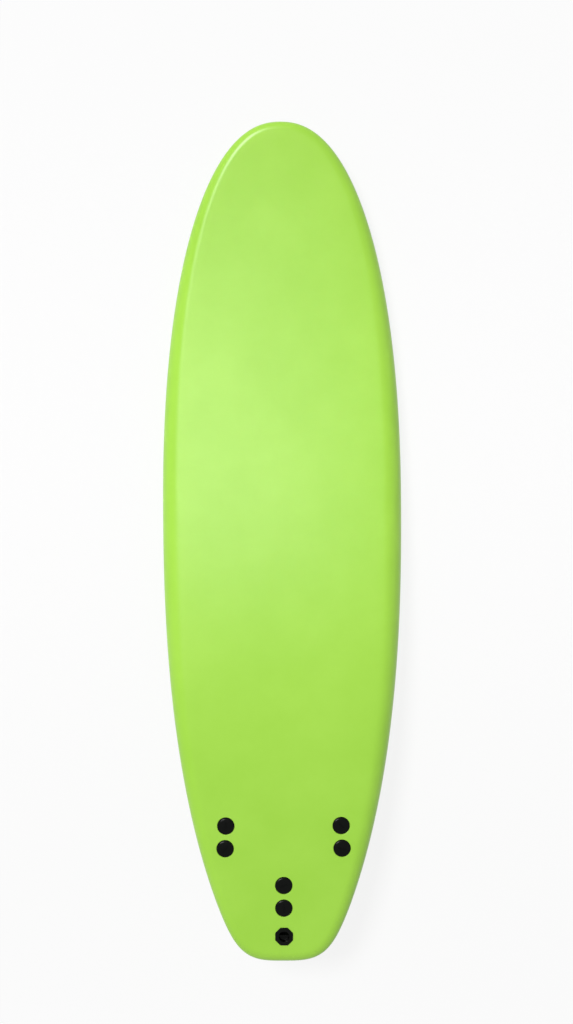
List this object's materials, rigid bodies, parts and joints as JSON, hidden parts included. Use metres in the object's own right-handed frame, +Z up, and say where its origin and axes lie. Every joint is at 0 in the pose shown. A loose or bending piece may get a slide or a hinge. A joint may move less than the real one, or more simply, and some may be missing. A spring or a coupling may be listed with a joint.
{
  "type": "soft-top surfboard",
  "caption": "Foam-decked surfboard with a full round nose, rounded squash tail, bolt-through thruster fins and a leash plug.",
  "frame": {"origin": "on the floor under the middle of the bounding box, with the board resting on its belly and its side fins' tips", "axes": "+Y towards the nose, +X to the right seen from the tail, +Z up out of the deck; the board is pitched 5.7 degrees nose down about +X, as it rests with its fins in"},
  "size_m": [0.5268, 1.8282, 0.1773],
  "materials": {
    "deck_foam": "lime closed-cell foam skin, matt with a faint leathery grain",
    "core_foam": "white expanded polystyrene beads",
    "reinforcing_net": "woven net",
    "backing_foam": "fine closed-cell foam",
    "slick_sheet": "smooth glossy polyethylene sheet",
    "plywood": "plain sawn ply",
    "leash_plastic": "black moulded plastic, satin",
    "plug_plastic": "black moulded plastic",
    "screw_nylon": "black moulded nylon, satin",
    "washer_rubber": "black rubber",
    "insert_brass": "plain turned brass",
    "fin_plastic": "black moulded plastic, satin with polished edges"
  },
  "bodies": {
    "board": {"deck_skin": "deck_foam", "foam_core": "core_foam", "deck_mesh": "reinforcing_net", "bottom_mesh": "reinforcing_net", "bottom_backing": "backing_foam", "bottom_slick": "slick_sheet", "stringer_left": "plywood", "stringer_right": "plywood", "leash_cup": "leash_plastic", "leash_bar": "leash_plastic", "leash_anchor": "plug_plastic", "plug_cap_left_front": "plug_plastic", "plug_body_left_front": "plug_plastic", "plug_cap_left_rear": "plug_plastic", "plug_body_left_rear": "plug_plastic", "plug_cap_right_front": "plug_plastic", "plug_body_right_front": "plug_plastic", "plug_cap_right_rear": "plug_plastic", "plug_body_right_rear": "plug_plastic", "plug_cap_centre_front": "plug_plastic", "plug_body_centre_front": "plug_plastic", "plug_cap_centre_rear": "plug_plastic", "plug_body_centre_rear": "plug_plastic"},
    "fin_left": {"fin_left": "fin_plastic", "insert_left_front": "insert_brass", "insert_left_rear": "insert_brass"},
    "fin_right": {"fin_right": "fin_plastic", "insert_right_front": "insert_brass", "insert_right_rear": "insert_brass"},
    "fin_centre": {"fin_centre": "fin_plastic", "insert_centre_front": "insert_brass", "insert_centre_rear": "insert_brass"},
    "washer_left_front": {"seal_washer_left_front": "washer_rubber"},
    "screw_left_front": {"fin_screw_left_front": "screw_nylon"},
    "washer_left_rear": {"seal_washer_left_rear": "washer_rubber"},
    "screw_left_rear": {"fin_screw_left_rear": "screw_nylon"},
    "washer_right_front": {"seal_washer_right_front": "washer_rubber"},
    "screw_right_front": {"fin_screw_right_front": "screw_nylon"},
    "washer_right_rear": {"seal_washer_right_rear": "washer_rubber"},
    "screw_right_rear": {"fin_screw_right_rear": "screw_nylon"},
    "washer_centre_front": {"seal_washer_centre_front": "washer_rubber"},
    "screw_centre_front": {"fin_screw_centre_front": "screw_nylon"},
    "washer_centre_rear": {"seal_washer_centre_rear": "washer_rubber"},
    "screw_centre_rear": {"fin_screw_centre_rear": "screw_nylon"}
  },
  "joints": [
    {"name": "fin_left_draw", "type": "slide", "parent": "board", "child": "fin_left", "axis": [0.0202, -0.0753, -0.997], "range_m": [0, 0.045]},
    {"name": "fin_right_draw", "type": "slide", "parent": "board", "child": "fin_right", "axis": [-0.0202, -0.0753, -0.997], "range_m": [0, 0.045]},
    {"name": "fin_centre_draw", "type": "slide", "parent": "board", "child": "fin_centre", "axis": [0, -0.0717, -0.9974], "range_m": [0, 0.045]},
    {"name": "screw_left_front_lift", "type": "slide", "parent": "board", "child": "washer_left_front", "axis": [-0.0202, 0.0753, 0.997], "range_m": [0, 0.0161]},
    {"name": "screw_left_front_turn", "type": "hinge", "parent": "washer_left_front", "child": "screw_left_front", "pos_m": [-0.12641, -0.61208, 0.15248], "axis": [-0.0202, 0.0753, 0.997], "range_deg": [0, 2880]},
    {"name": "screw_left_rear_lift", "type": "slide", "parent": "board", "child": "washer_left_rear", "axis": [-0.0202, 0.0753, 0.997], "range_m": [0, 0.0161]},
    {"name": "screw_left_rear_turn", "type": "hinge", "parent": "washer_left_rear", "child": "screw_left_rear", "pos_m": [-0.12813, -0.66191, 0.15621], "axis": [-0.0202, 0.0753, 0.997], "range_deg": [0, 2880]},
    {"name": "screw_right_front_lift", "type": "slide", "parent": "board", "child": "washer_right_front", "axis": [0.0202, 0.0753, 0.997], "range_m": [0, 0.0161]},
    {"name": "screw_right_front_turn", "type": "hinge", "parent": "washer_right_front", "child": "screw_right_front", "pos_m": [0.12641, -0.61208, 0.15248], "axis": [0.0202, 0.0753, 0.997], "range_deg": [0, 2880]},
    {"name": "screw_right_rear_lift", "type": "slide", "parent": "board", "child": "washer_right_rear", "axis": [0.0202, 0.0753, 0.997], "range_m": [0, 0.0161]},
    {"name": "screw_right_rear_turn", "type": "hinge", "parent": "washer_right_rear", "child": "screw_right_rear", "pos_m": [0.12813, -0.66191, 0.15621], "axis": [0.0202, 0.0753, 0.997], "range_deg": [0, 2880]},
    {"name": "screw_centre_front_lift", "type": "slide", "parent": "board", "child": "washer_centre_front", "axis": [0, 0.0717, 0.9974], "range_m": [0, 0.0161]},
    {"name": "screw_centre_front_turn", "type": "hinge", "parent": "washer_centre_front", "child": "screw_centre_front", "pos_m": [0, -0.74301, 0.16349], "axis": [0, 0.0717, 0.9974], "range_deg": [0, 2880]},
    {"name": "screw_centre_rear_lift", "type": "slide", "parent": "board", "child": "washer_centre_rear", "axis": [0, 0.0717, 0.9974], "range_m": [0, 0.0161]},
    {"name": "screw_centre_rear_turn", "type": "hinge", "parent": "washer_centre_rear", "child": "screw_centre_rear", "pos_m": [0, -0.79288, 0.16707], "axis": [0, 0.0717, 0.9974], "range_deg": [0, 2880]}
  ],
  "couplings": [
    {"joint": "screw_left_front_lift", "follows": "screw_left_front_turn", "m_per_rad": 0.00031831},
    {"joint": "screw_left_rear_lift", "follows": "screw_left_rear_turn", "m_per_rad": 0.00031831},
    {"joint": "screw_right_front_lift", "follows": "screw_right_front_turn", "m_per_rad": 0.00031831},
    {"joint": "screw_right_rear_lift", "follows": "screw_right_rear_turn", "m_per_rad": 0.00031831},
    {"joint": "screw_centre_front_lift", "follows": "screw_centre_front_turn", "m_per_rad": 0.00031831},
    {"joint": "screw_centre_rear_lift", "follows": "screw_centre_rear_turn", "m_per_rad": 0.00031831}
  ]
}
